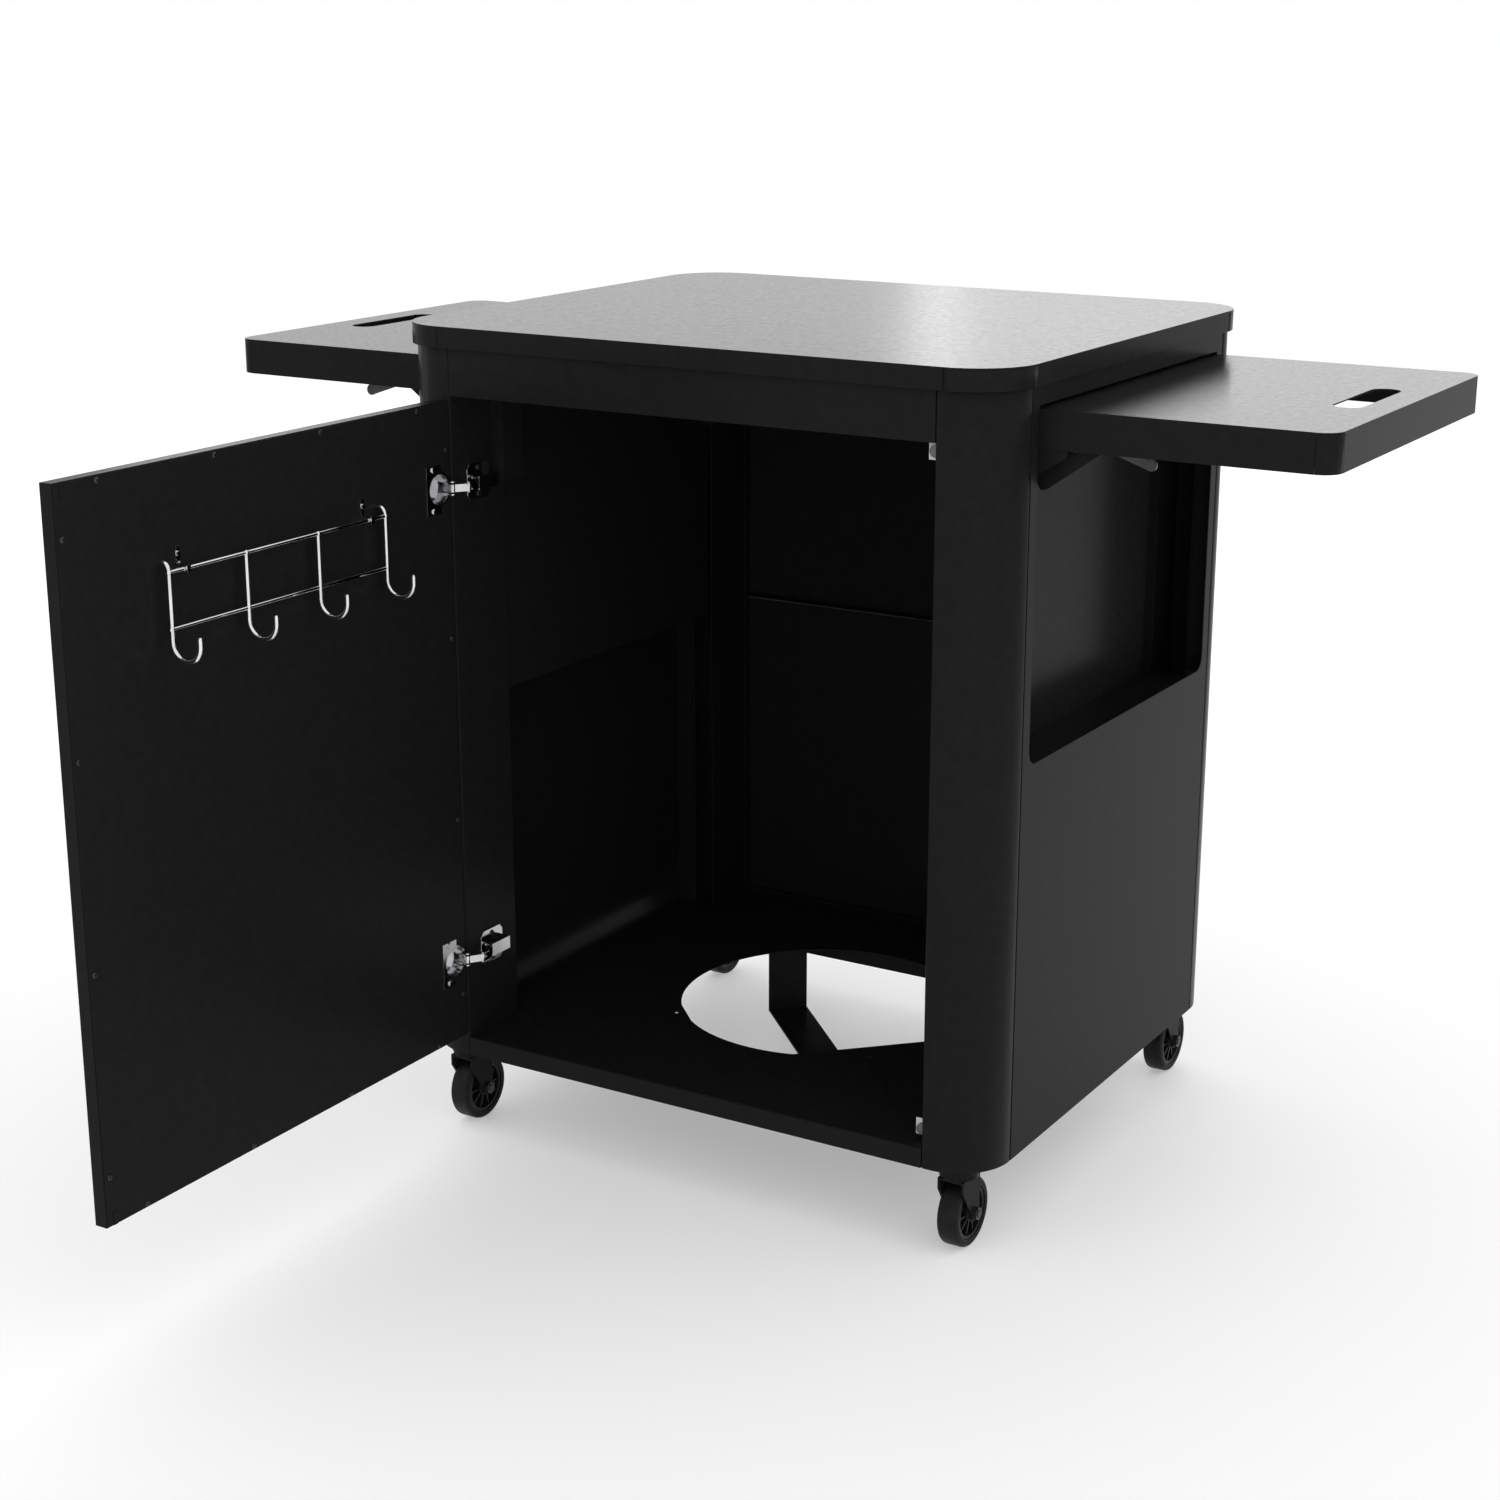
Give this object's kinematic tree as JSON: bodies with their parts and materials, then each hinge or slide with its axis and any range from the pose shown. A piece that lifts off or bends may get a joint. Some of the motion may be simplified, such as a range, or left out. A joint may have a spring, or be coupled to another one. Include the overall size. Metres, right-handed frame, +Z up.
{
  "type": "kitchen island cart",
  "caption": "Sheet-steel island cart on swivel casters with a door, folding side shelves and a floor hole for a gas cylinder.",
  "frame": {"origin": "on the floor below the middle of the cabinet, between the casters", "axes": "+X to the right along the front and the two raised shelves, -Y towards the front, +Z up"},
  "size_m": [1.2974, 1.1879, 0.914],
  "materials": {
    "black_coat": "semi-gloss black powder coat, fine orange-peel",
    "plated_steel": "bright nickel or zinc plate",
    "plated_steel_dark": "satin black plated lever",
    "black_plate": "black plated bolt and nut",
    "chrome_wire": "polished wire",
    "white_coat": "pale coated catch plate",
    "black_plastic": "moulded wheel centre",
    "tyre_rubber": "matt tread"
  },
  "bodies": {
    "cabinet": {"table_top": "black_coat", "top_corner_strips": "black_coat", "front_left_post": "black_coat", "front_right_post": "black_coat", "rear_left_post": "black_coat", "rear_right_post": "black_coat", "front_header": "black_coat", "front_base_channel": "black_coat", "rear_base_channel": "black_coat", "side_panel_left": "black_coat", "side_panel_right": "black_coat", "side_tray_left": "black_coat", "side_tray_right": "black_coat", "back_panel_upper": "black_coat", "back_panel_lower": "black_coat", "floor_panel": "black_coat", "tank_sling": "black_coat", "caster_corner_plates": "black_coat", "caster_plates": "black_coat", "door_catches": "white_coat", "catch_magnets": "plated_steel", "panel_screws": "black_coat", "hinge_plates": "plated_steel", "hinge_arms": "plated_steel", "hinge_pins": "plated_steel", "shelf_brackets": "black_coat", "shelf_pins": "plated_steel"},
    "door": {"door_outer_panel": "black_coat", "door_inner_panel": "black_coat", "door_screws": "black_coat", "door_strikes": "black_coat", "door_handle": "chrome_wire", "hinge_cups": "plated_steel", "hook_rack": "chrome_wire", "rack_screws": "chrome_wire"},
    "door_links": {"hinge_links": "plated_steel"},
    "left_shelf": {"shelf_left": "black_coat", "shelf_corners_left": "black_coat", "shelf_arms_left": "black_coat"},
    "left_lever": {"release_lever_left": "plated_steel_dark"},
    "right_shelf": {"shelf_right": "black_coat", "shelf_corners_right": "black_coat", "shelf_arms_right": "black_coat"},
    "right_lever": {"release_lever_right": "plated_steel_dark"},
    "fork_front_left_body": {"fork_front_left": "black_coat", "axle_front_left": "black_plate"},
    "wheel_front_left": {"hub_front_left": "black_plastic", "tyre_front_left": "tyre_rubber"},
    "fork_front_right_body": {"fork_front_right": "black_coat", "axle_front_right": "black_plate"},
    "wheel_front_right": {"hub_front_right": "black_plastic", "tyre_front_right": "tyre_rubber"},
    "fork_rear_left_body": {"fork_rear_left": "black_coat", "axle_rear_left": "black_plate"},
    "wheel_rear_left": {"hub_rear_left": "black_plastic", "tyre_rear_left": "tyre_rubber"},
    "fork_rear_right_body": {"fork_rear_right": "black_coat", "axle_rear_right": "black_plate"},
    "wheel_rear_right": {"hub_rear_right": "black_plastic", "tyre_rear_right": "tyre_rubber"}
  },
  "joints": [
    {"name": "door_swing", "type": "hinge", "parent": "cabinet", "child": "door", "pos_m": [-0.29315, -0.29605, 0.4805], "axis": [0, 0, 1], "range_deg": [0, 90]},
    {"name": "link_swing", "type": "hinge", "parent": "cabinet", "child": "door_links", "pos_m": [-0.26928, -0.29856, 0.4805], "axis": [0, 0, 1], "range_deg": [0, 237]},
    {"name": "shelf_left_fold", "type": "hinge", "parent": "cabinet", "child": "left_shelf", "pos_m": [-0.32765, 0, 0.84005], "axis": [0, -1, 0], "range_deg": [0, 90]},
    {"name": "lever_left_squeeze", "type": "hinge", "parent": "left_shelf", "child": "left_lever", "pos_m": [-0.4, 0, 0.838], "axis": [0, 1, 0], "range_deg": [0, 7], "stiffness_Nm_per_rad": 0.6, "springref_deg": -17.19},
    {"name": "shelf_right_fold", "type": "hinge", "parent": "cabinet", "child": "right_shelf", "pos_m": [0.32765, 0, 0.84005], "axis": [0, 1, 0], "range_deg": [0, 90]},
    {"name": "lever_right_squeeze", "type": "hinge", "parent": "right_shelf", "child": "right_lever", "pos_m": [0.4, 0, 0.838], "axis": [0, -1, 0], "range_deg": [0, 7], "stiffness_Nm_per_rad": 0.6, "springref_deg": -17.19},
    {"name": "swivel_front_left", "type": "hinge", "parent": "cabinet", "child": "fork_front_left_body", "pos_m": [-0.312, -0.269, 0.084], "axis": [0, 0, 1], "continuous": true},
    {"name": "roll_front_left", "type": "hinge", "parent": "fork_front_left_body", "child": "wheel_front_left", "pos_m": [-0.312, -0.259, 0.0375], "axis": [1, 0, 0], "continuous": true},
    {"name": "swivel_front_right", "type": "hinge", "parent": "cabinet", "child": "fork_front_right_body", "pos_m": [0.312, -0.269, 0.084], "axis": [0, 0, 1], "continuous": true},
    {"name": "roll_front_right", "type": "hinge", "parent": "fork_front_right_body", "child": "wheel_front_right", "pos_m": [0.312, -0.259, 0.0375], "axis": [1, 0, 0], "continuous": true},
    {"name": "swivel_rear_left", "type": "hinge", "parent": "cabinet", "child": "fork_rear_left_body", "pos_m": [-0.312, 0.269, 0.084], "axis": [0, 0, 1], "continuous": true},
    {"name": "roll_rear_left", "type": "hinge", "parent": "fork_rear_left_body", "child": "wheel_rear_left", "pos_m": [-0.312, 0.279, 0.0375], "axis": [1, 0, 0], "continuous": true},
    {"name": "swivel_rear_right", "type": "hinge", "parent": "cabinet", "child": "fork_rear_right_body", "pos_m": [0.312, 0.269, 0.084], "axis": [0, 0, 1], "continuous": true},
    {"name": "roll_rear_right", "type": "hinge", "parent": "fork_rear_right_body", "child": "wheel_rear_right", "pos_m": [0.312, 0.279, 0.0375], "axis": [1, 0, 0], "continuous": true}
  ],
  "couplings": [
    {"joint": "link_swing", "follows": "door_swing", "ratio": 2.6333}
  ]
}
